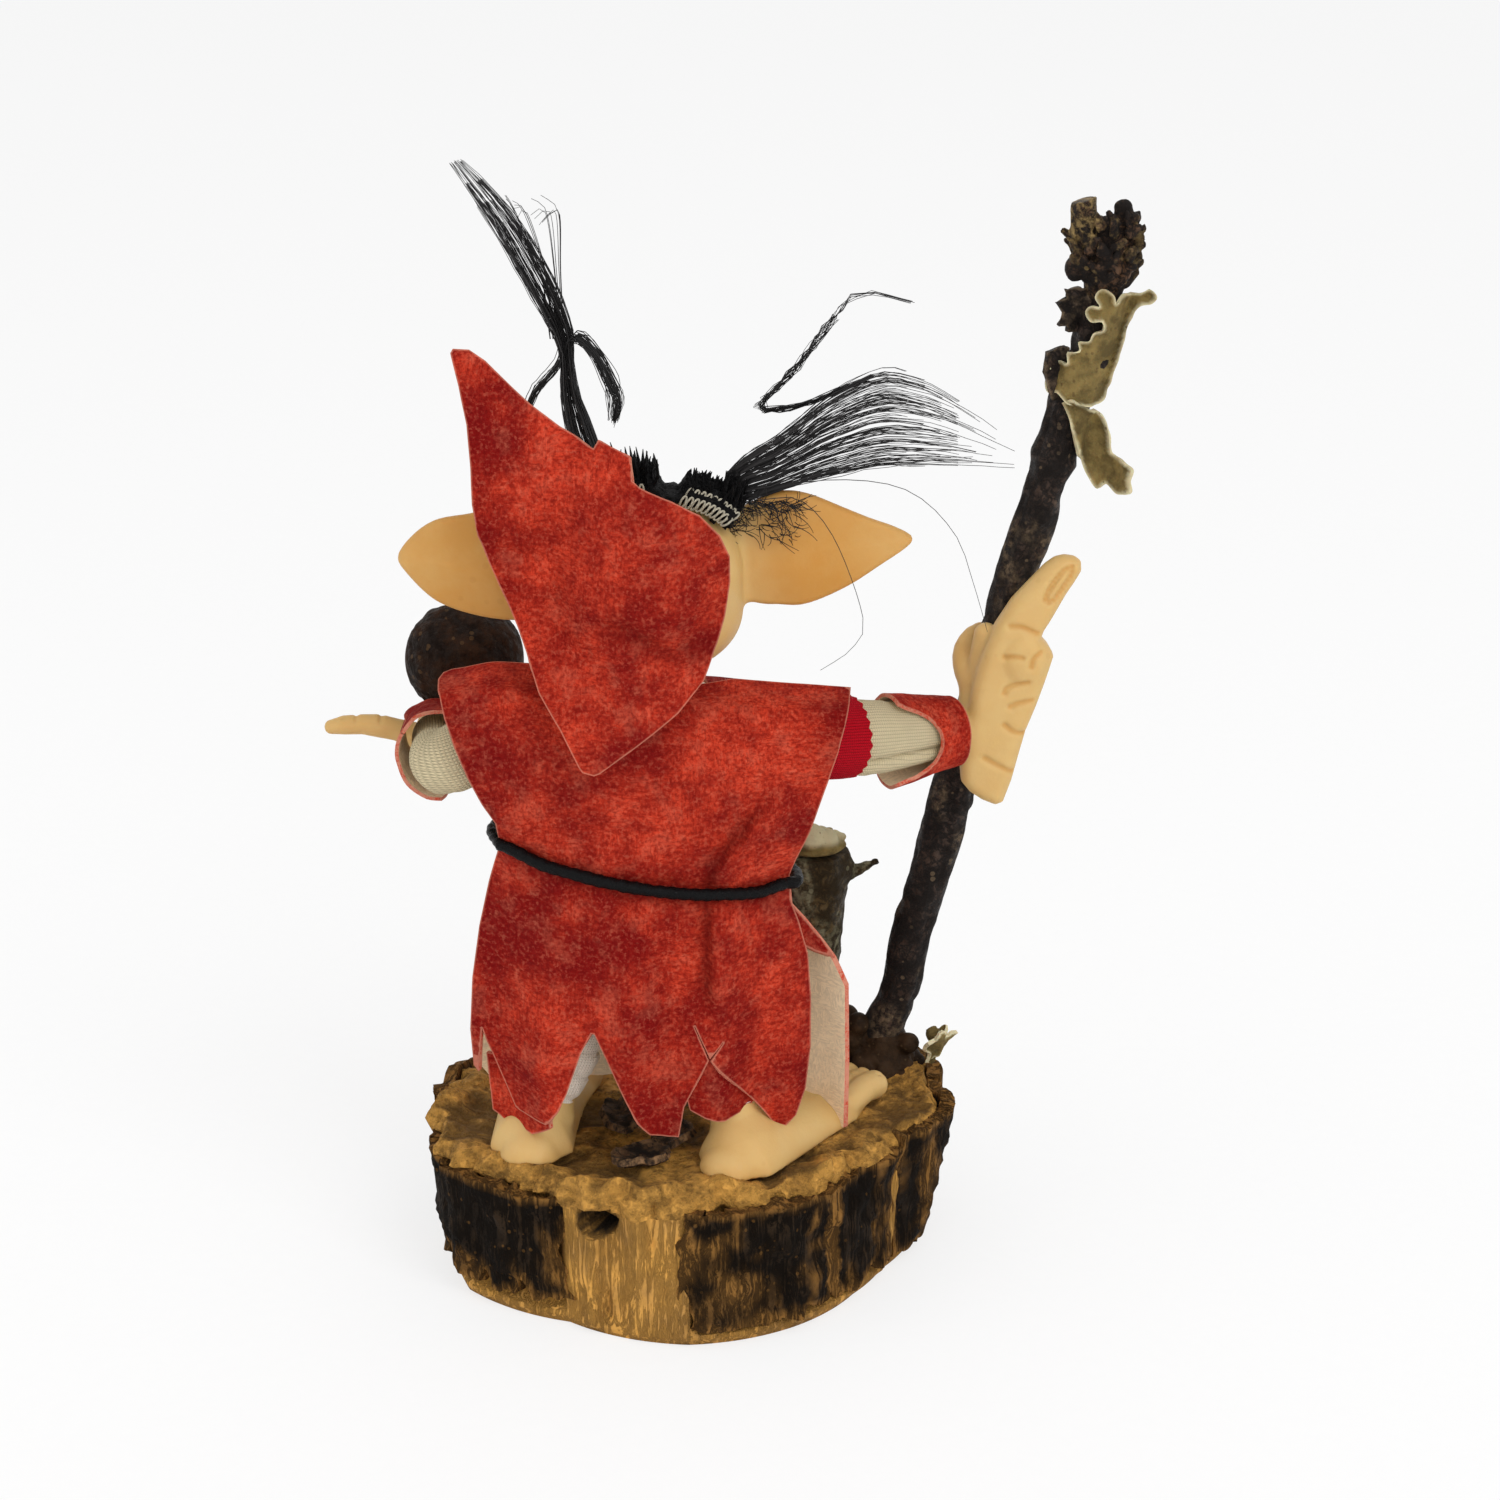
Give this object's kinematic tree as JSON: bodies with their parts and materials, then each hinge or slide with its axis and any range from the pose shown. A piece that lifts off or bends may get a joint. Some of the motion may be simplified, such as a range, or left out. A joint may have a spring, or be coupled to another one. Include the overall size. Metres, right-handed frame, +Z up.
{
  "type": "elf figurine",
  "caption": "Leather-clad elf figure with pointed ears, hood and wild hair, standing on a bark-edged wood slice and gripping a twig staff; head, elbow and wrist move.",
  "frame": {"origin": "centre of the wood slice's flat underside", "axes": "+Z up, +Y the way the elf faces, +X to the elf's right as seen from behind, on the staff's side"},
  "size_m": [0.1069, 0.0609, 0.1466],
  "materials": {
    "slice_wood": "rough sawn and stripped wood",
    "bark": "rough dark bark",
    "stump_wood": "weathered dark twig",
    "staff_wood": "dark twig with bark",
    "lichen": "dry matt lichen",
    "glue": "set glue with bubbles",
    "skin": "cast rubber, satin",
    "stuffing": "wrapped and stuffed cloth",
    "cream_knit": "fine knit",
    "undersleeve_knit": "crimson knit",
    "leather": "mottled suede, pale reverse",
    "belt": "waxed cord",
    "hair_band": "stitched weft strip",
    "hair": "fine grey hair",
    "eye": "glass bead",
    "nut": "mottled nutshell",
    "wire": "bare armature wire"
  },
  "bodies": {
    "base": {"wood_slice": "slice_wood", "bark": "bark", "bark_chips": "bark", "stump": "stump_wood", "stump_lichen": "lichen", "staff": "staff_wood", "staff_glue": "glue", "staff_bud": "staff_wood", "staff_bark_flakes": "staff_wood", "staff_lichen_upper": "lichen", "staff_lichen_lower": "lichen", "base_lichen": "lichen", "left_foot": "skin", "right_foot": "skin", "left_leg": "stuffing", "right_leg": "stuffing", "leg_wires": "wire", "torso": "stuffing", "spine_wire": "wire", "left_undersleeve": "undersleeve_knit", "right_undersleeve": "undersleeve_knit", "left_upper_arm": "cream_knit", "left_upper_arm_wire": "wire", "right_arm": "cream_knit", "right_arm_wire": "wire", "right_cuff": "leather", "right_hand": "skin", "tunic_back": "leather", "tunic_front": "leather", "belt_cord": "belt", "belt_knot": "belt"},
    "head": {"head": "skin", "eyes": "eye", "hair_band": "hair_band", "hair_left_tuft": "hair", "hair_right_tuft": "hair", "hood": "leather"},
    "left_forearm": {"left_forearm": "cream_knit", "left_cuff": "leather"},
    "left_hand": {"left_hand": "skin", "left_wrist_wire": "wire", "carried_nut": "nut"}
  },
  "joints": [
    {"name": "head_turn", "type": "hinge", "parent": "base", "child": "head", "pos_m": [-0.005, -0.009, 0.083], "axis": [0, 0, 1], "range_deg": [-15, 15]},
    {"name": "left_elbow_bend", "type": "hinge", "parent": "base", "child": "left_forearm", "pos_m": [-0.03015, -0.00948, 0.06964], "axis": [0, 0, 1], "range_deg": [-15, 40]},
    {"name": "left_wrist_turn", "type": "hinge", "parent": "left_forearm", "child": "left_hand", "pos_m": [-0.03213, 0.00638, 0.06884], "axis": [-0.1239, 0.9911, -0.0496], "range_deg": [-30, 30]}
  ]
}
